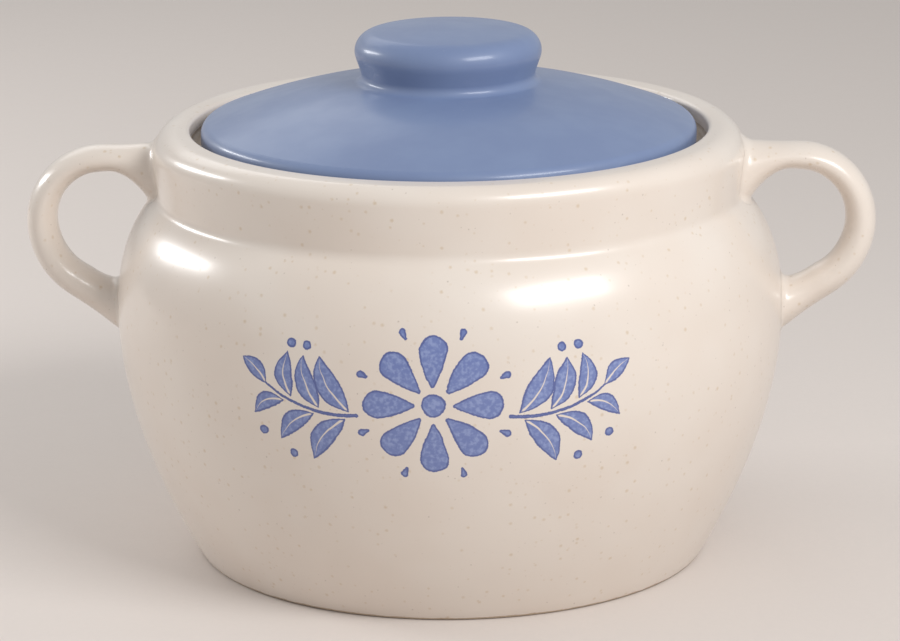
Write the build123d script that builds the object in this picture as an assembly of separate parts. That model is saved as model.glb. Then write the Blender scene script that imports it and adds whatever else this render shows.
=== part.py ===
from build123d import *

import os
from math import asin, cos, degrees, radians, sin, sqrt, tan

# A stoneware bean pot: a round-bellied body with an upright collar, two loop handles luted to
# its sides, and a lift-off lid with a disc knob. Millimetres, +Z up. The origin is the middle
# of the foot, on the surface that the pot stands on, and the handles lie along X.

# ---- Body, outside
FOOT_RADIUS = 75.6
FOOT_SPLAY = 29.0  # degrees from upright, where the wall leaves the foot
BELLY_RADIUS = 98.5
BELLY_HEIGHT = 73.5
LOWER_FULLNESS = 0.817  # share of the way from foot to belly radius, low on the wall
LOWER_POSITION = 0.6  # share of the belly's height of that place
SHOULDER_FULLNESS = 0.535  # share of the way from neck to belly radius, high on the shoulder
SHOULDER_POSITION = 0.77  # share of the way from belly to neck height of that place
SHOULDER_SLOPE = 33.0  # degrees from level, where the shoulder runs in to the neck
SHOULDER_INSET = 12.7  # from the belly in to the neck
NECK_HEIGHT = 107.6
NECK_ROUND = 4.0
COLLAR_HEIGHT = 20.4
COLLAR_FLARE = 2.0  # how much wider the collar is at its rim than at the neck
RIM_ROUND = 3.0

# ---- Body, inside and underneath
WALL = 6.5
FLOOR = 8.0
FLOOR_ROUND = 14.0
FOOT_RING_WIDTH = 6.5
FOOT_RECESS = 2.0
FOOT_RECESS_ROUND = 0.8
FOOT_ROUND = 1.4

# ---- Gallery, the step inside the rim that carries the lid
RIM_WIDTH = 11.8  # from the rim's outside in to the gallery wall
GALLERY_DEPTH = 5.5
GALLERY_ROUND = 1.5
LEDGE_WIDTH = 7.5
LEDGE_THICKNESS = 5.0
LEDGE_ROUND = 1.6
LEDGE_UNDER_ROUND = 3.2

# ---- Lid
LID_GAP = 3.2  # between the lid's edge and the gallery wall
LID_EDGE = 6.0
LID_EDGE_ROUND = 3.2
LID_UNDER_ROUND = 0.9
LID_RISE = 14.0
LID_WALL = 6.2
FLANGE_GAP = 1.5  # between the locating flange and the mouth
FLANGE_WIDTH = 5.5
FLANGE_DEPTH = 9.0
FLANGE_ROUND = 1.8
FLANGE_INNER_ROUND = 3.6

# ---- Knob, with heights above the lid where the knob's side meets it
KNOB_FOOT_RADIUS = 25.0
KNOB_RADIUS = 27.35
KNOB_WIDEST_HEIGHT = 9.6
KNOB_HEIGHT = 16.0
KNOB_CROWN = 1.4
KNOB_CROWN_SHARE = 0.8  # of the knob's radius, where the crown turns down into the shoulder
KNOB_LEAN = 10.0  # degrees from upright, where the side leaves the lid
KNOB_FILLET = 2.4

# ---- Handles: a level upper arm, two bends and a lower arm that slopes back to the belly
RIGHT_HANDLE_DROP = 9.3  # from the rim down to the middle of the upper arm
LEFT_HANDLE_DROP = 10.7  # the left handle is set a little lower by hand
HANDLE_REACH = 22.7  # from the belly's widest circle out to the middle of the loop's tip
HANDLE_UPPER_BEND = 18.8
HANDLE_LOWER_BEND = 21.7
HANDLE_ARM_SLOPE = 32.5  # degrees below level, of the lower arm
HANDLE_UPPER_THICKNESS = 7.2  # where the upper arm leaves its root
HANDLE_LOWER_THICKNESS = 10.4  # where the lower arm meets its root
HANDLE_WIDTH = 15.0
ROOT_SPREAD = 2.5  # how much wider each side of the arm is where it meets the wall
UPPER_ROOT_LENGTH = 14.0
UPPER_ROOT_INNER = 12.2
UPPER_ROOT_OUTER = 1.0
LOWER_ROOT_LENGTH = 11.0
LOWER_ROOT_INNER = 4.0
LOWER_ROOT_OUTER = 0.5
ROOT_FILLET = 2.4
ROOT_EMBED = 12.0  # how far each end of the blank runs on inside the wall before it is cut
LUTING_GAP = 0.01  # hairline between a root and the wall that it is luted to
FLARE_OVALS = 4  # steps of the loft along each flare
LOOP_OVALS = 8  # steps of the loft round the loop between them

# ---- What follows from them
NECK_RADIUS = BELLY_RADIUS - SHOULDER_INSET
RIM_RADIUS = NECK_RADIUS + COLLAR_FLARE
RIM_HEIGHT = NECK_HEIGHT + COLLAR_HEIGHT
GALLERY_RADIUS = RIM_RADIUS - RIM_WIDTH
GALLERY_FLOOR = RIM_HEIGHT - GALLERY_DEPTH
MOUTH_RADIUS = GALLERY_RADIUS - LEDGE_WIDTH
LID_RADIUS = GALLERY_RADIUS - LID_GAP
LID_SHOULDER_HEIGHT = GALLERY_FLOOR + LID_EDGE
LID_CROWN_HEIGHT = LID_SHOULDER_HEIGHT + LID_RISE
FLANGE_RADIUS = MOUTH_RADIUS - FLANGE_GAP
HANDLE_TIP = BELLY_RADIUS + HANDLE_REACH


def turned(profile):
    """Turns a profile, drawn as radius and height, about the pot's axis, from the back round."""
    return revolve(Plane.YZ * profile, Axis.Z)


def between(low, high, share):
    return low + (high - low) * share


def clamped(share):
    return min(1, max(0, share))


def heading(angle):
    return (cos(radians(angle)), sin(radians(angle)))


# ---------------------------------------------------------------- body
def foot_arc():
    """The rounded outer edge of the foot, from its flat face to where the wall starts."""
    turn = 90 - FOOT_SPLAY
    start = FOOT_RADIUS - FOOT_ROUND * tan(radians(turn / 2))
    return JernArc((start, 0), (1, 0), FOOT_ROUND, turn)


def outer_wall():
    """The body's outside, from the foot over the belly and the shoulder to the neck."""
    lower = (between(FOOT_RADIUS, BELLY_RADIUS, LOWER_FULLNESS), BELLY_HEIGHT * LOWER_POSITION)
    shoulder = (
        between(NECK_RADIUS, BELLY_RADIUS, SHOULDER_FULLNESS),
        between(BELLY_HEIGHT, NECK_HEIGHT, SHOULDER_POSITION),
    )
    return Spline(
        foot_arc() @ 1,
        lower,
        (BELLY_RADIUS, BELLY_HEIGHT),
        shoulder,
        (NECK_RADIUS, NECK_HEIGHT),
        tangents=[heading(90 - FOOT_SPLAY), heading(180 - SHOULDER_SLOPE)],
    )


def outside_profile(top):
    """Everything inside the body's outer surface, with the collar drawn up to a given height."""
    wall = outer_wall()
    top_radius = NECK_RADIUS + COLLAR_FLARE / COLLAR_HEIGHT * (top - NECK_HEIGHT)
    foot = foot_arc()
    collar = Polyline(wall @ 1, (top_radius, top), (0, top), (0, 0), foot @ 0)
    profile = make_face(foot + wall + collar)
    neck = profile.vertices().sort_by_distance((NECK_RADIUS, NECK_HEIGHT))[0]
    return fillet(neck, NECK_ROUND)


def cavity_profile():
    """The hollow: one wall inside the outer surface, drawn in to the mouth under the ledge."""
    wall = outer_wall()
    stations = [i / 8 for i in range(9)]
    normals = [(-(wall % t).Y, (wall % t).X) for t in stations]
    inner = Spline(*[wall @ t + Vector(*n) * WALL for t, n in zip(stations, normals)])
    ledge_underside = GALLERY_FLOOR - LEDGE_THICKNESS
    neck = Polyline(
        inner @ 1,
        (MOUTH_RADIUS, ledge_underside),
        (MOUTH_RADIUS, RIM_HEIGHT),
        (0, RIM_HEIGHT),
        (0, 0),
        inner @ 0,
    )
    hollow = make_face(inner + neck)
    floor = Pos(0, FLOOR) * Rectangle(BELLY_RADIUS, FLOOR * 2, align=(Align.MIN, Align.MAX))
    hollow -= floor
    corner = hollow.vertices().sort_by_distance((FOOT_RADIUS, FLOOR))[0]
    hollow = fillet(corner, FLOOR_ROUND)
    under_ledge = hollow.vertices().sort_by_distance((MOUTH_RADIUS, ledge_underside))[0]
    return fillet(under_ledge, LEDGE_UNDER_ROUND)


def body_profile():
    """The body's section: outside, less the hollow, the gallery and the foot's recess."""
    gallery = Pos(0, GALLERY_FLOOR) * Rectangle(GALLERY_RADIUS, GALLERY_DEPTH, align=Align.MIN)
    recess_radius = FOOT_RADIUS - FOOT_RING_WIDTH
    recess = Rectangle(recess_radius, FOOT_RECESS, align=Align.MIN)
    profile = outside_profile(RIM_HEIGHT) - cavity_profile() - gallery - recess
    roundings = [
        ((RIM_RADIUS, RIM_HEIGHT), RIM_ROUND),
        ((GALLERY_RADIUS, RIM_HEIGHT), GALLERY_ROUND),
        ((GALLERY_RADIUS, GALLERY_FLOOR), GALLERY_ROUND),
        ((MOUTH_RADIUS, GALLERY_FLOOR), LEDGE_ROUND),
        ((recess_radius, 0), FOOT_RECESS_ROUND),
        ((recess_radius, FOOT_RECESS), FOOT_RECESS_ROUND),
    ]
    for corner, radius in roundings:
        profile = fillet(profile.vertices().sort_by_distance(corner)[0], radius)
    return profile


# ---------------------------------------------------------------- handles
def handle_path(drop):
    """The middle line of a handle, from inside the collar round to inside the belly."""
    level = RIM_HEIGHT - drop
    collar_radius = between(NECK_RADIUS, RIM_RADIUS, 0.5)
    start = (collar_radius - ROOT_EMBED, level)
    upper_arm = Line(start, (HANDLE_TIP - HANDLE_UPPER_BEND, level))
    upper_bend = JernArc(upper_arm @ 1, (1, 0), HANDLE_UPPER_BEND, -90)
    lower_bend = JernArc(upper_bend @ 1, (0, -1), HANDLE_LOWER_BEND, HANDLE_ARM_SLOPE - 90)
    run_in = ((lower_bend @ 1).X - BELLY_RADIUS) / cos(radians(HANDLE_ARM_SLOPE))
    lower_arm = Line(lower_bend @ 1, (lower_bend @ 1) + (lower_bend % 1) * (run_in + ROOT_EMBED))
    return Wire([upper_arm, upper_bend, lower_bend, lower_arm])


def handle_section(path, distance):
    """One oval of a handle, at a distance along its middle line, flared near either root."""
    from_upper = distance - ROOT_EMBED
    from_lower = path.length - ROOT_EMBED - distance
    along = clamped(from_upper / (from_upper + from_lower))
    upper = clamped(1 - from_upper / UPPER_ROOT_LENGTH) ** 2
    lower = clamped(1 - from_lower / LOWER_ROOT_LENGTH) ** 2
    half_thickness = between(HANDLE_UPPER_THICKNESS, HANDLE_LOWER_THICKNESS, along) / 2
    inner = half_thickness + UPPER_ROOT_INNER * upper + LOWER_ROOT_INNER * lower
    outer = half_thickness + UPPER_ROOT_OUTER * upper + LOWER_ROOT_OUTER * lower
    half_width = HANDLE_WIDTH / 2 + ROOT_SPREAD * (upper + lower)
    centre = path.position_at(distance / path.length)
    tangent = path.tangent_at(distance / path.length)
    outward = Vector(-tangent.Y, tangent.X)
    plane = Plane(centre + outward * ((outer - inner) / 2), x_dir=outward, z_dir=tangent)
    return plane * Ellipse((inner + outer) / 2, half_width)


def handle_blank(drop):
    """A handle, lofted through its ovals, with both ends run into the wall."""
    path = handle_path(drop)
    upper_root = ROOT_EMBED
    lower_root = path.length - ROOT_EMBED
    upper_flare = (upper_root, upper_root + UPPER_ROOT_LENGTH)
    lower_flare = (lower_root - LOWER_ROOT_LENGTH, lower_root)
    distances = [0, upper_root / 2]
    distances += [between(*upper_flare, i / FLARE_OVALS) for i in range(FLARE_OVALS)]
    distances += [between(upper_flare[1], lower_flare[0], i / LOOP_OVALS) for i in range(LOOP_OVALS)]
    distances += [between(*lower_flare, i / FLARE_OVALS) for i in range(FLARE_OVALS + 1)]
    distances += [lower_root + ROOT_EMBED / 2, path.length]
    return Plane.XZ * loft([handle_section(path, distance) for distance in distances])


def handle(drop):
    """A handle along +X, blended into the body by a fillet round each root and cut to its wall."""
    pot = turned(outside_profile(RIM_HEIGHT + UPPER_ROOT_LENGTH))
    blank = handle_blank(drop)
    luted = pot + blank
    roots = new_edges(pot, blank, combined=luted)
    cutter = scale(pot, 1 + LUTING_GAP / BELLY_RADIUS)  # the same body, a hairline larger
    return fillet(roots, ROOT_FILLET) - cutter


# ---------------------------------------------------------------- lid and knob
def sphere_radius(reach, rise):
    """Radius of the sphere whose cap rises so far over such a reach."""
    return (reach**2 + rise**2) / (2 * rise)


def dome_height(radius, depth=0):
    """Height of the lid's dome at a radius, or of the surface a given depth inside it."""
    sphere = sphere_radius(LID_RADIUS, LID_RISE)
    return LID_CROWN_HEIGHT - sphere + sqrt((sphere - depth) ** 2 - radius**2)


def dome_arc(reach, depth=0):
    """The dome's arc from the middle out to a radius."""
    return ThreePointArc(*[(r, dome_height(r, depth)) for r in (0, reach / 2, reach)])


def knob_outline():
    """The knob's side and shoulder, and the low crown that closes its top."""
    foot_height = dome_height(KNOB_FOOT_RADIUS)
    crown_radius = KNOB_RADIUS * KNOB_CROWN_SHARE
    crown_edge = (crown_radius, foot_height + KNOB_HEIGHT - KNOB_CROWN)
    crown_slope = degrees(asin(crown_radius / sphere_radius(crown_radius, KNOB_CROWN)))
    side = Spline(
        (KNOB_FOOT_RADIUS, foot_height),
        (KNOB_RADIUS, foot_height + KNOB_WIDEST_HEIGHT),
        crown_edge,
        tangents=[heading(90 - KNOB_LEAN), heading(180 - crown_slope)],
    )
    crown = TangentArc(crown_edge, (0, foot_height + KNOB_HEIGHT), tangent=side % 1)
    return side + crown


def blended_knob_profile():
    """The knob and the dome under it as one outline, with the fillet between them."""
    foot = (KNOB_FOOT_RADIUS, dome_height(KNOB_FOOT_RADIUS))
    centre = (0, GALLERY_FLOOR)
    top = dome_arc(LID_RADIUS)
    plate = make_face(top + Polyline(top @ 1, centre, top @ 0))
    outline = knob_outline()
    knob = make_face(outline + Polyline((0, foot[1] + KNOB_HEIGHT), centre, foot))
    joined = plate + knob
    return fillet(joined.vertices().sort_by_distance(foot)[0], KNOB_FILLET)


def knob_seat():
    """Where the fillet runs out on the dome: the rim of the flat that the knob is luted to."""
    foot = (KNOB_FOOT_RADIUS, dome_height(KNOB_FOOT_RADIUS))
    ends = blended_knob_profile().vertices().sort_by_distance(foot)[0:2]
    return ends.sort_by(Axis.Y)[0]


def knob_profile():
    seat = knob_seat()
    below = Pos(0, seat.Y) * Rectangle(LID_RADIUS, LID_CROWN_HEIGHT, align=(Align.MIN, Align.MAX))
    return blended_knob_profile() - below


def lid_profile():
    """The domed plate on its flat seat, with the locating flange that hangs in the mouth."""
    flange_bore = FLANGE_RADIUS - FLANGE_WIDTH
    flange_foot = GALLERY_FLOOR - FLANGE_DEPTH
    top = dome_arc(LID_RADIUS)
    hollow = dome_arc(flange_bore, LID_WALL)
    outline = Polyline(
        top @ 1,
        (LID_RADIUS, GALLERY_FLOOR),
        (FLANGE_RADIUS, GALLERY_FLOOR),
        (FLANGE_RADIUS, flange_foot),
        (flange_bore, flange_foot),
        hollow @ 1,
    )
    profile = make_face(top + outline + hollow + Line(hollow @ 0, top @ 0))
    roundings = [
        (top @ 1, LID_EDGE_ROUND),
        ((LID_RADIUS, GALLERY_FLOOR), LID_UNDER_ROUND),
        ((FLANGE_RADIUS, GALLERY_FLOOR), LID_UNDER_ROUND),
        ((FLANGE_RADIUS, flange_foot), FLANGE_ROUND),
        ((flange_bore, flange_foot), FLANGE_ROUND),
        (hollow @ 1, FLANGE_INNER_ROUND),
    ]
    for corner, radius in roundings:
        profile = fillet(profile.vertices().sort_by_distance(corner)[0], radius)
    seat = knob_seat()
    return profile - Pos(0, seat.Y) * Rectangle(seat.X, LID_RISE, align=Align.MIN)


# ---------------------------------------------------------------- the pieces, one file each
pieces = {
    "pot_body": turned(body_profile()),
    "handle_right": handle(RIGHT_HANDLE_DROP),
    "handle_left": Rot(Z=180) * handle(LEFT_HANDLE_DROP),
    "lid": turned(lid_profile()),
    "lid_knob": turned(knob_profile()),
}

os.makedirs("parts", exist_ok=True)
for name, piece in pieces.items():
    export_step(piece, f"parts/{name}.step")
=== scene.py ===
from math import atan2, cos, degrees, hypot, pi, radians, sin, sqrt, tan

import bmesh
import bpy
from mathutils import Matrix, Quaternion, Vector
from mathutils.kdtree import KDTree


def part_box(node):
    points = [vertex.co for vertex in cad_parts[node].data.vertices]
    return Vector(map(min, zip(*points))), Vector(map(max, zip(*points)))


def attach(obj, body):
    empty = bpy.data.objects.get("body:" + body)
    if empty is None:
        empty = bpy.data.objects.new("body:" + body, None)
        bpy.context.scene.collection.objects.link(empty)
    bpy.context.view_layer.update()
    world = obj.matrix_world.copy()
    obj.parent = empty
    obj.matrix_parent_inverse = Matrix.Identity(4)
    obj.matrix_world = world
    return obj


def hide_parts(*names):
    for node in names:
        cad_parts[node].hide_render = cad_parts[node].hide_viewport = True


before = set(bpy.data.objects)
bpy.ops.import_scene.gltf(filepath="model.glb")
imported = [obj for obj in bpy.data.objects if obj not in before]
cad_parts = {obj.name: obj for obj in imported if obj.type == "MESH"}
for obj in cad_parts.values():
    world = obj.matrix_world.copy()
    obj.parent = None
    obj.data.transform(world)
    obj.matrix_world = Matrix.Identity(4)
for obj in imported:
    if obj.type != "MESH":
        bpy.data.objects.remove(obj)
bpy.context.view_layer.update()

# Dresses the bean pot: glazes, painted decoration, floor, lamps and camera. The body is turned anew
# from its own section with a rounder rim, and the upper roots of the handles follow that rim.
# Metres, +Z up, with the pot's foot at the origin, its handles along X and its decorated side
# towards -Y.

# ---- Camera, on a line to a point on the pot's axis
CAMERA_DISTANCE = 1.14
CAMERA_ELEVATION = 15.09  # degrees
CAMERA_AZIMUTH = 2.8  # degrees, from -Y towards +X
CAMERA_ROLL = 0.473  # degrees, clockwise
CAMERA_TARGET = (-0.0001, 0, 0.0677)
LENS_PIXELS = 3823  # focal length in pixels of a frame 900 wide
FRAME_WIDTH = 900
SENSOR_WIDTH = 36

# ---- Rim, whose outer edge is rounded more fully here than on the CAD body, in millimetres
COLLAR_HEIGHT = 20.4
COLLAR_FLARE = 2.0
RIM_RADIUS = 87.8
RIM_HEIGHT = 128.0
CAD_RIM_ROUND = 3.0
RIM_ROUND = 5.0
SIDE_RIM_ROUND = 7.5  # above the handles
SIDE_SHARPNESS = 6  # how closely the softer rounding keeps to the handles
FILLET_MARGIN = 1.05  # the CAD rounding's points lie within its reach times this
COLLAR_MARGIN = 1.4  # the collar's points within the softest rounding's reach times this move
COLLAR_PUSH = 1.5  # down the collar, to stay below the rounding
ROOT_REACH = 9.0  # how far from the collar a handle's root follows the rounder rim

# ---- Body's facets, in metres
RING_REACH = 0.0015  # how near to one of its rings a point of the body's section moves onto it
RING_SPACING = 0.0002  # below which two points of the section are one
SEAM_SPACING = RING_SPACING / 10  # below which two points of the turned body are one
FACETS = 256  # round the body

# ---- Bare clay on the foot, and on the gallery's ledge, where it is also painted shade for the gap under the lid; metres
FOOT_EDGE = 0.0004  # least height of the glaze above the foot
FOOT_EDGE_RISE = 0.0008
LEDGE_FROM = 0.122
LEDGE_TO = 0.1238
LEDGE_RADIUS = 0.0765
BARE_ROUGHNESS = 0.9

# ---- Colours, as shares of the light that they send back
CREAM = (0.74, 0.655, 0.58)
CREAM_THICK = (0.76, 0.685, 0.615)
TAN_SPECK = (0.5, 0.33, 0.13)
BROWN_SPECK = (0.2, 0.13, 0.08)
BLUE = (0.175, 0.237, 0.4)
BLUE_DEEP = (0.163, 0.221, 0.382)
PALE_SPECK = (0.42, 0.45, 0.52)
# bare clay; on the gallery's ledge it also serves as painted shade, darkening the gap between lid
# and rim
CLAY = (0.4, 0.3, 0.21)
CLAY_PALE = (0.58, 0.47, 0.36)
PAINT = (0.15, 0.2, 0.44)
PAINT_THIN = (0.25, 0.31, 0.55)
PAINT_EDGE = (0.085, 0.115, 0.31)
FLOOR = (0.71, 0.65, 0.61)
FLOOR_GRAIN = 0.97  # its darker grains, times the floor's colour

# ---- Least and greatest roughness
CREAM_ROUGHNESS = (0.28, 0.34)
BLUE_ROUGHNESS = (0.5, 0.57)
FLOOR_ROUGHNESS = (0.75, 0.85)

# ---- Specks: width of a cell in metres, share of the cells that hold one, greatest radius
TAN_SPECKS = (0.0023, 0.8, 0.00078)
BROWN_SPECKS = (0.0019, 0.4, 0.00036)
PALE_SPECKS = (0.003, 0.4, 0.0003)
TAN_STRENGTH = 0.38
BROWN_STRENGTH = 0.38
PALE_STRENGTH = 0.4
SPECK_SHARPNESS = 1.4

# ---- Decoration, in millimetres from its middle, along the belly and up
DECORATION_HEIGHT = 70  # of its middle above the foot
PETALS = 8
PETAL_START = 5.8
PETAL_END = 15.6
PETAL_WIDTHS = (0.7, 4.1)  # half widths at the start and the end, here and below
PETAL_SWELL = 0.5
DISC_RADIUS = 3.4
BEAD_START = 20.2
BEAD_END = 22
BEAD_WIDTHS = (0.5, 1.1)
STEM_START = (21.5, -3.6)
STEM_END = (49, 3.2)
STEM_BOW = -2.6
STEM_WIDTHS = (0.6, 0.35)
LEAF_PAIRS = 3
FIRST_LEAF = 0.06  # share of the stem before it
LEAF_STEP = 0.32
LEAF_LAG = 0.04  # share of the stem from an upper leaf to the lower one
LEAF_LENGTH = 18.5
LEAF_TAPER = 2.4  # from pair to pair
LOWER_LEAF_LOSS = 1.2
LEAF_WIDTHS = (0.25, 0.25)
LEAF_SWELL = 3.4
LEAF_BOW = 1.8
LEAF_GAP = 1.3
UPPER_SPREAD = 64  # degrees from the stem
LOWER_SPREAD = 50
START_SPREAD = 8  # degrees more where a leaf starts
BERRY_RADIUS = 1.35
BERRY_OUT = 1.2
BERRY_UP = 1.6
UPPER_BERRY_RISE = 1.4
END_LEAF_LENGTH = 9.8
END_LEAF_TURN = 6  # degrees
END_LEAF_WIDTHS = (0.3, 0.25)
END_LEAF_SWELL = 2.3
END_LEAF_BOW = 0.8
BAND_EDGE = (0.08, -0.12)  # where the paint starts and is full, from a stroke's edge outwards
OUTLINE_EDGE = (-0.75, -0.35)  # where the darker outline starts and is full
VEIN_EDGE = (0.42, 0.28)  # the same for a vein, from its middle
VEIN_TAPER = 0.35
RAGGEDNESS = 0.5
WOBBLE = 1.6
PAINTED_SHARE = 0.94  # of the belly's radius, outside which the band lies

# ---- Lamps: azimuth and elevation in degrees, distance and size in metres, watts, tilt in degrees
LAMPS = {
    "lamp_left": (-110, 20, 1.0, (0.5, 0.11), 3.3, 25),
    "lamp_right": (45, 38, 1.0, (0.55, 0.25), 6.3, 0),
    "lamp_back": (-150, 35, 1.2, (0.7, 0.5), 1.1, 0),
}
LAMP_TARGET = (0, 0, 0.08)
WORLD_COLOUR = (0.9, 0.9, 0.9)
WORLD_STRENGTH = 0.565
FLOOR_REACH = 3  # metres


def make_camera():
    data = bpy.data.cameras.new("camera")
    data.sensor_width = SENSOR_WIDTH
    data.lens = LENS_PIXELS * SENSOR_WIDTH / FRAME_WIDTH
    camera = bpy.data.objects.new("camera", data)
    azimuth = radians(CAMERA_AZIMUTH)
    elevation = radians(CAMERA_ELEVATION)
    turn = Matrix.Rotation(azimuth, 4, "Z")
    tip = Matrix.Rotation(pi / 2 - elevation, 4, "X")
    roll = Matrix.Rotation(radians(-CAMERA_ROLL), 4, "Z")
    pull = Matrix.Translation((0, 0, CAMERA_DISTANCE))
    camera.matrix_world = Matrix.Translation(turn @ Vector(CAMERA_TARGET)) @ turn @ tip @ pull @ roll
    bpy.context.scene.collection.objects.link(camera)
    bpy.context.scene.camera = camera


# ---------------------------------------------------------------- material kit
class Paint:
    """A procedural material. Its methods add nodes and give back the socket of their result."""

    def __init__(self, name, **constants):
        self.material = bpy.data.materials.new(name)
        self.material.use_nodes = True
        self.tree = self.material.node_tree
        self.shader = self.tree.nodes["Principled BSDF"]
        self.place = self.node("ShaderNodeTexCoord", {}, "Object")
        for socket, value in constants.items():
            self.shader.inputs[socket.replace("_", " ").title()].default_value = value

    def feed(self, socket, value):
        if isinstance(value, bpy.types.NodeSocket):
            self.tree.links.new(value, socket)
        elif socket.type == "RGBA":
            socket.default_value = (*value, 1)
        else:
            socket.default_value = value

    def node(self, kind, inputs, output=0, **settings):
        node = self.tree.nodes.new(kind)
        for name, value in settings.items():
            setattr(node, name, value)
        for name, value in inputs.items():
            self.feed(node.inputs[name], value)
        return node.outputs[output]

    def math(self, operation, *values, clamp=False):
        inputs = dict(enumerate(values))
        return self.node("ShaderNodeMath", inputs, operation=operation, use_clamp=clamp)

    def vector(self, operation, *values):
        output = "Value" if operation in ("DOT_PRODUCT", "DISTANCE", "LENGTH") else "Vector"
        inputs = dict(enumerate(values))
        return self.node("ShaderNodeVectorMath", inputs, output, operation=operation)

    def step(self, value, low, high, least=0, most=1):
        """Rises smoothly from least to most while the value goes from low to high."""
        inputs = {"Value": value, "From Min": low, "From Max": high, "To Min": least, "To Max": most}
        return self.node("ShaderNodeMapRange", inputs, interpolation_type="SMOOTHSTEP")

    def mix(self, share, first, second):
        return self.node("ShaderNodeMix", {0: share, 6: first, 7: second}, 2, data_type="RGBA")

    def noise(self, size, detail=2, place=None, output="Fac"):
        """Noise whose features are about so many metres across."""
        inputs = {"Vector": place or self.place, "Scale": 1 / size, "Detail": detail}
        return self.node("ShaderNodeTexNoise", inputs, output)

    def shaken(self, place, size, reach):
        """A place moved about at random by up to the reach, with features of the size."""
        shift = self.vector("SUBTRACT", self.noise(size, 1, output="Color"), (0.5, 0.5, 0.5))
        return self.vector("MULTIPLY_ADD", shift, (2 * reach,) * 3, place)

    def specks(self, cell, share, radius, place):
        """Specks scattered through space, in a share of its cells and up to a radius."""
        voronoi = self.tree.nodes.new("ShaderNodeTexVoronoi")
        self.feed(voronoi.inputs["Vector"], place)
        self.feed(voronoi.inputs["Scale"], 1 / cell)
        luck = self.node("ShaderNodeSeparateColor", {0: voronoi.outputs["Color"]})
        growth = radius / cell / share
        size = self.math("MULTIPLY_ADD", luck, growth, (share - 1) * growth)
        inside = self.math("SUBTRACT", size, voronoi.outputs["Distance"])
        return self.math("MULTIPLY", inside, cell / radius * SPECK_SHARPNESS, clamp=True)

    def axis_distance(self):
        return self.vector("LENGTH", self.vector("MULTIPLY", self.place, (1, 1, 0)))

    def colour(self, socket):
        self.feed(self.shader.inputs["Base Color"], socket)

    def roughness(self, socket):
        self.feed(self.shader.inputs["Roughness"], socket)

    def relief(self, *heights):
        """Bumps the surface by the sum of some heights in metres."""
        total = heights[0]
        for height in heights[1:]:
            total = self.math("ADD", total, height)
        normal = self.node("ShaderNodeBump", {"Height": total, "Distance": 1, "Strength": 1})
        self.feed(self.shader.inputs["Normal"], normal)

    def height(self, noise, reach):
        return self.math("MULTIPLY", noise, reach)


# ---------------------------------------------------------------- decoration
def away(centre, distance, angle):
    """A point so far from the centre, at an angle in degrees above the level."""
    return centre + Vector((cos(radians(angle)), sin(radians(angle)))) * distance


def curve_point(start, end, bow, share):
    """A point on a line that bows sideways between its ends, and the line's angle there."""
    along = end - start
    side = Vector((-along.y, along.x)).normalized()
    slope = atan2(4 * bow * (1 - 2 * share), along.length)
    point = start + along * share + side * bow * 4 * share * (1 - share)
    return point, degrees(atan2(along.y, along.x) + slope)


class Drawing:
    """Brush strokes as distances from their edges, negative inside, in millimetres."""

    def __init__(self, paint, place):
        self.paint = paint
        self.place = place
        self.edges = []
        self.veins = []

    def stroke(self, start, end, first, last, swell=0, bow=0, vein=False):
        """A stroke whose half width goes from first to last, with a swell and a bow between."""
        p = self.paint
        along = (end - start).to_3d()
        side = Vector((-along.y, along.x, 0)).normalized()
        offset = p.vector("SUBTRACT", self.place, start.to_3d())
        share = p.vector("DOT_PRODUCT", offset, along / along.length_squared)
        share = p.math("MULTIPLY", share, 1, clamp=True)
        hump = p.math("MULTIPLY", share, p.math("SUBTRACT", 1, share))
        centre = p.vector("MULTIPLY_ADD", share, along, start.to_3d())
        if bow:
            centre = p.vector("MULTIPLY_ADD", hump, side * bow * 4, centre)
        distance = p.vector("DISTANCE", self.place, centre)
        half_width = p.math("MULTIPLY_ADD", share, last - first, first)
        if swell:
            half_width = p.math("MULTIPLY_ADD", hump, swell * 4, half_width)
        self.edges.append(p.math("SUBTRACT", distance, half_width))
        if vein:
            self.veins.append(p.math("MULTIPLY_ADD", share, VEIN_TAPER, distance))

    def dot(self, centre, radius):
        p = self.paint
        distance = p.vector("DISTANCE", self.place, centre.to_3d())
        self.edges.append(p.math("SUBTRACT", distance, radius))

    def nearest(self, distances):
        total = distances[0]
        for distance in distances[1:]:
            total = self.paint.math("MINIMUM", total, distance)
        return total


def draw_rosette(drawing):
    """A disc, petals round it and a bead between each two, as the right half of a mirror image."""
    middle = Vector((0, 0))
    turn = 360 / PETALS
    drawing.dot(middle, DISC_RADIUS)
    for i in range(PETALS // 2 + 1):
        angle = 90 - turn * i
        start = away(middle, PETAL_START, angle)
        end = away(middle, PETAL_END, angle)
        drawing.stroke(start, end, *PETAL_WIDTHS, PETAL_SWELL)
    for i in range(PETALS // 2):
        angle = 90 - turn * (i + 0.5)
        start = away(middle, BEAD_START, angle)
        end = away(middle, BEAD_END, angle)
        drawing.stroke(start, end, *BEAD_WIDTHS)


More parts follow.
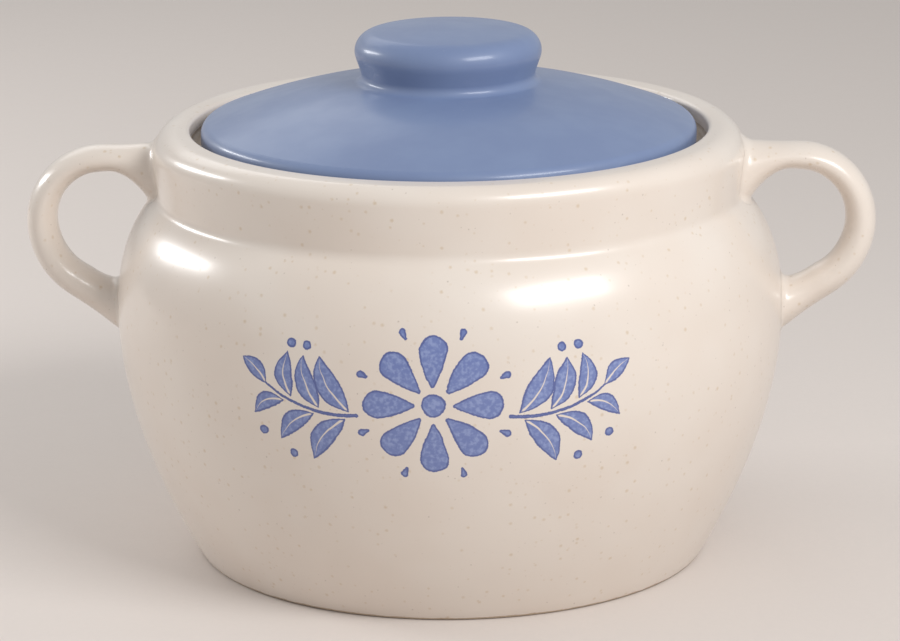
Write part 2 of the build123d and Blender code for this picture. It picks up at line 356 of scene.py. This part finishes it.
def draw_garland(drawing):
    """A stem with paired leaves, berries between their tips and a leaf at its end."""
    stem_start = Vector(STEM_START)
    stem_end = Vector(STEM_END)
    drawing.stroke(stem_start, stem_end, *STEM_WIDTHS, bow=STEM_BOW)
    rows = (
        (1, UPPER_SPREAD, 0, 0, BERRY_UP + UPPER_BERRY_RISE),
        (-1, LOWER_SPREAD, LEAF_LAG, LOWER_LEAF_LOSS, -BERRY_UP),
    )
    for side, spread, lag, loss, berry_up in rows:
        tips = []
        for pair in range(LEAF_PAIRS):
            share = FIRST_LEAF + LEAF_STEP * pair + lag
            length = LEAF_LENGTH - LEAF_TAPER * pair - loss
            node, heading = curve_point(stem_start, stem_end, STEM_BOW, share)
            start = away(node, LEAF_GAP, heading + side * (spread + START_SPREAD))
            tip = away(node, length, heading + side * spread)
            swell = LEAF_SWELL * length / LEAF_LENGTH
            drawing.stroke(start, tip, *LEAF_WIDTHS, swell, bow=-LEAF_BOW * side, vein=True)
            tips.append(tip)
        for tip, next_tip in zip(tips, tips[1:]):
            drawing.dot((tip + next_tip) / 2 + Vector((BERRY_OUT, berry_up)), BERRY_RADIUS)
    start, heading = curve_point(stem_start, stem_end, STEM_BOW, 1)
    tip = away(start, END_LEAF_LENGTH, heading + END_LEAF_TURN)
    drawing.stroke(start, tip, *END_LEAF_WIDTHS, END_LEAF_SWELL, bow=END_LEAF_BOW, vein=True)


def decorate(p, glaze):
    """Lays the painted band over a glaze colour, on the outside of the belly's front."""
    belly_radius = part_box("pot_body")[1][0]
    x, y, z = [p.node("ShaderNodeSeparateXYZ", {0: p.place}, i) for i in range(3)]
    angle = p.math("ARCTAN2", x, p.math("MULTIPLY", y, -1))
    across = p.math("MULTIPLY", angle, belly_radius * 1000)
    up = p.math("MULTIPLY_ADD", z, 1000, -DECORATION_HEIGHT)
    shaken = p.math("MULTIPLY_ADD", p.noise(0.006, 1), WOBBLE, across)
    mirrored = p.math("ABSOLUTE", p.math("SUBTRACT", shaken, WOBBLE / 2))
    drawing = Drawing(p, p.node("ShaderNodeCombineXYZ", {"X": mirrored, "Y": up}))
    draw_rosette(drawing)
    draw_garland(drawing)
    ragged = p.math("MULTIPLY_ADD", p.noise(0.0007, 2), RAGGEDNESS, -RAGGEDNESS / 2)
    edge = p.math("ADD", drawing.nearest(drawing.edges), ragged)
    vein = drawing.nearest(drawing.veins)
    outside = p.math("GREATER_THAN", p.axis_distance(), belly_radius * PAINTED_SHARE)
    grain = p.step(p.noise(0.0011, 3), 0.4, 0.68)
    paint = p.mix(grain, PAINT, PAINT_THIN)
    paint = p.mix(p.step(vein, *VEIN_EDGE), paint, CREAM)
    paint = p.mix(p.step(edge, *OUTLINE_EDGE), paint, PAINT_EDGE)
    covered = p.math("MULTIPLY", p.step(edge, *BAND_EDGE), outside)
    return p.mix(covered, glaze, paint)


# ---------------------------------------------------------------- body, rim and handles
def stand_in(node, mesh, body):
    """A piece with a mesh of its own that stands for a CAD node."""
    piece = bpy.data.objects.new(f"{node}_glazed", mesh)
    bpy.context.scene.collection.objects.link(piece)
    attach(piece, body)
    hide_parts(node)
    return piece


def half_section(node):
    """The front half of a turned node's section, as a wire through the node's own rings."""
    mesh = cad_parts[node].data
    rings = KDTree(len(mesh.vertices))
    for vertex in mesh.vertices:
        rings.insert((0, -hypot(vertex.co.x, vertex.co.y), vertex.co.z), vertex.index)
    rings.balance()
    wire = bmesh.new()
    wire.from_mesh(mesh)
    for across in ((1, 0, 0), (0, 1, 0)):
        everything = wire.verts[:] + wire.edges[:] + wire.faces[:]
        bmesh.ops.bisect_plane(
            wire,
            geom=everything,
            plane_co=(0, 0, 0),
            plane_no=across,
            clear_outer=True,
            clear_inner=across == (1, 0, 0),
        )
    for vertex in wire.verts:
        ring, _, distance = rings.find(vertex.co)
        if distance < RING_REACH:
            vertex.co = ring
    bmesh.ops.remove_doubles(wire, verts=wire.verts, dist=RING_SPACING)
    return wire


def turned_again(node):
    """A turned node's shape in even facets, made by turning its section about the pot's axis."""
    shape = half_section(node)
    geometry = shape.verts[:] + shape.edges[:]
    bmesh.ops.spin(shape, geom=geometry, axis=(0, 0, 1), angle=2 * pi, steps=FACETS, use_merge=True)
    bmesh.ops.remove_doubles(shape, verts=shape.verts, dist=SEAM_SPACING)
    bmesh.ops.recalc_face_normals(shape, faces=shape.faces)
    mesh = bpy.data.meshes.new(f"{node}_turned")
    shape.to_mesh(mesh)
    shape.free()
    mesh.shade_smooth()
    return mesh


def rim_rounding(x, radius):
    """Rounding of the rim's outer edge at a point, which was pressed softer above the handles."""
    return RIM_ROUND + (SIDE_RIM_ROUND - RIM_ROUND) * (x / radius) ** SIDE_SHARPNESS


def rounding_reach(rounding):
    """How far from the rim's sharp corner a rounding starts, along the collar and along the top."""
    corner_angle = pi / 2 - atan2(COLLAR_FLARE, COLLAR_HEIGHT)
    return rounding / tan(corner_angle / 2)


def round_rim(piece):
    """Rounds the rim more fully: its rounding grows about the sharp corner that it replaces."""
    for vertex in piece.data.vertices:
        x, y, z = vertex.co * 1000
        radius = hypot(x, y)
        inward = RIM_RADIUS - radius
        down = RIM_HEIGHT - z
        from_corner = hypot(inward, down)
        if from_corner < rounding_reach(CAD_RIM_ROUND) * FILLET_MARGIN:
            growth = rim_rounding(x, radius) / CAD_RIM_ROUND
        elif inward < COLLAR_FLARE and from_corner < rounding_reach(SIDE_RIM_ROUND) * COLLAR_MARGIN:
            growth = COLLAR_PUSH
        else:
            continue
        place = (RIM_RADIUS - inward * growth) / radius
        vertex.co = Vector((x * place, y * place, RIM_HEIGHT - down * growth)) / 1000


def fit_root(piece):
    """Draws a handle's upper root in to the rounder rim, and leaves the rest of the loop alone."""
    lean = atan2(COLLAR_FLARE, COLLAR_HEIGHT)
    for vertex in piece.data.vertices:
        x, y, z = vertex.co * 1000
        radius = hypot(x, y)
        rounding = rim_rounding(x, radius)
        above_centre = z - (RIM_HEIGHT - rounding)
        collar = RIM_RADIUS - (RIM_HEIGHT - z) * tan(lean)
        share = 1 - (radius - collar) / ROOT_REACH
        if above_centre > 0 and share > 0:
            centre = RIM_RADIUS - rounding * (tan(lean) + 1 / cos(lean))
            rounded = centre + sqrt(rounding**2 - above_centre**2)
            drawn = 1 - max(0, collar - rounded) * min(1, share) / radius
            vertex.co.x *= drawn
            vertex.co.y *= drawn


# ---------------------------------------------------------------- materials
def make_cream_glaze():
    p = Paint("speckled_cream_glaze", coat_weight=0.45, coat_roughness=0.17)
    glaze = p.mix(p.step(p.noise(0.035), 0.35, 0.65), CREAM, CREAM_THICK)
    uneven = p.shaken(p.place, 0.0005, 0.00018)
    tan_specks = p.specks(*TAN_SPECKS, uneven)
    brown_specks = p.specks(*BROWN_SPECKS, uneven)
    glaze = p.mix(p.math("MULTIPLY", tan_specks, TAN_STRENGTH), glaze, TAN_SPECK)
    glaze = p.mix(p.math("MULTIPLY", brown_specks, BROWN_STRENGTH), glaze, BROWN_SPECK)
    glaze = decorate(p, glaze)
    z = p.node("ShaderNodeSeparateXYZ", {0: p.place}, 2)
    glaze_edge = p.math("MULTIPLY_ADD", p.noise(0.004), FOOT_EDGE_RISE, FOOT_EDGE)
    foot = p.math("LESS_THAN", z, glaze_edge)
    # The gallery's ledge takes the clay colour: partly bare clay, partly painted shade for the gap
    # between the lid and the rim
    from_ledge = p.math("ABSOLUTE", p.math("SUBTRACT", z, (LEDGE_FROM + LEDGE_TO) / 2))
    level = p.math("LESS_THAN", from_ledge, (LEDGE_TO - LEDGE_FROM) / 2)
    inside = p.math("LESS_THAN", p.axis_distance(), LEDGE_RADIUS)
    bare_clay_and_painted_shade = p.math("MAXIMUM", foot, p.math("MULTIPLY", level, inside))
    clay = p.mix(p.noise(0.0008, 3), CLAY, CLAY_PALE)
    p.colour(p.mix(bare_clay_and_painted_shade, glaze, clay))
    sheen = p.step(p.noise(0.012), 0.3, 0.7, *CREAM_ROUGHNESS)
    p.roughness(p.math("MAXIMUM", sheen, p.math("MULTIPLY", bare_clay_and_painted_shade, BARE_ROUGHNESS)))
    rings = p.noise(0.008, 1, p.vector("MULTIPLY", p.place, (0.08, 0.08, 1)))
    p.relief(p.height(rings, 0.00006), p.height(p.noise(0.0014), 0.000008))
    return p.material


def make_blue_glaze():
    p = Paint("satin_blue_glaze", coat_weight=0.45, coat_roughness=0.2)
    glaze = p.mix(p.step(p.noise(0.02, 3), 0.35, 0.65), BLUE, BLUE_DEEP)
    uneven = p.shaken(p.place, 0.0005, 0.00015)
    pale_specks = p.specks(*PALE_SPECKS, uneven)
    p.colour(p.mix(p.math("MULTIPLY", pale_specks, PALE_STRENGTH), glaze, PALE_SPECK))
    p.roughness(p.step(p.noise(0.01), 0.3, 0.7, *BLUE_ROUGHNESS))
    p.relief(p.height(p.noise(0.006, 1), 0.00003), p.height(p.noise(0.0012), 0.000008))
    return p.material


def make_floor_paper():
    p = Paint("floor_paper")
    p.colour(p.mix(p.noise(0.002, 3), FLOOR, [c * FLOOR_GRAIN for c in FLOOR]))
    p.roughness(p.step(p.noise(0.01), 0.3, 0.7, *FLOOR_ROUGHNESS))
    p.relief(p.height(p.noise(0.0015, 3), 0.00004))
    return p.material


def dress(pieces, material):
    for piece in pieces:
        piece.data.materials.clear()
        piece.data.materials.append(material)


def make_pot():
    body = stand_in("pot_body", turned_again("pot_body"), "pot")
    round_rim(body)
    pieces = [body]
    for node in ("handle_right", "handle_left"):
        handle = stand_in(node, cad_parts[node].data.copy(), "pot")
        fit_root(handle)
        pieces.append(handle)
    dress(pieces, make_cream_glaze())
    dress([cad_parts[node] for node in ("lid", "lid_knob")], make_blue_glaze())


# ---------------------------------------------------------------- floor and light
def make_floor():
    mesh = bpy.data.meshes.new("floor")
    grid = bmesh.new()
    bmesh.ops.create_grid(grid, x_segments=1, y_segments=1, size=FLOOR_REACH)
    grid.to_mesh(mesh)
    grid.free()
    floor = bpy.data.objects.new("floor", mesh)
    floor.data.materials.append(make_floor_paper())
    bpy.context.scene.collection.objects.link(floor)


def toward(azimuth, elevation, distance):
    """A point in a direction, in degrees from -Y towards +X and up from level."""
    a = radians(azimuth)
    e = radians(elevation)
    return Vector((sin(a) * cos(e), -cos(a) * cos(e), sin(e))) * distance


def make_lamp(name, azimuth, elevation, distance, size, watts, tilt):
    data = bpy.data.lights.new(name, "AREA")
    data.shape = "RECTANGLE"
    data.size, data.size_y = size
    data.energy = watts
    lamp = bpy.data.objects.new(name, data)
    aim = Vector(LAMP_TARGET)
    lamp.location = aim + toward(azimuth, elevation, distance)
    facing = (aim - lamp.location).to_track_quat("-Z", "Y")
    lamp.rotation_euler = (facing @ Quaternion((0, 0, 1), radians(tilt))).to_euler()
    bpy.context.scene.collection.objects.link(lamp)


def make_light():
    for name, settings in LAMPS.items():
        make_lamp(name, *settings)
    world = bpy.data.worlds.new("world")
    bpy.context.scene.world = world
    world.use_nodes = True
    background = world.node_tree.nodes["Background"]
    background.inputs["Color"].default_value = (*WORLD_COLOUR, 1)
    background.inputs["Strength"].default_value = WORLD_STRENGTH
    bpy.context.scene.view_settings.view_transform = "Standard"


make_camera()
make_pot()
make_floor()
make_light()
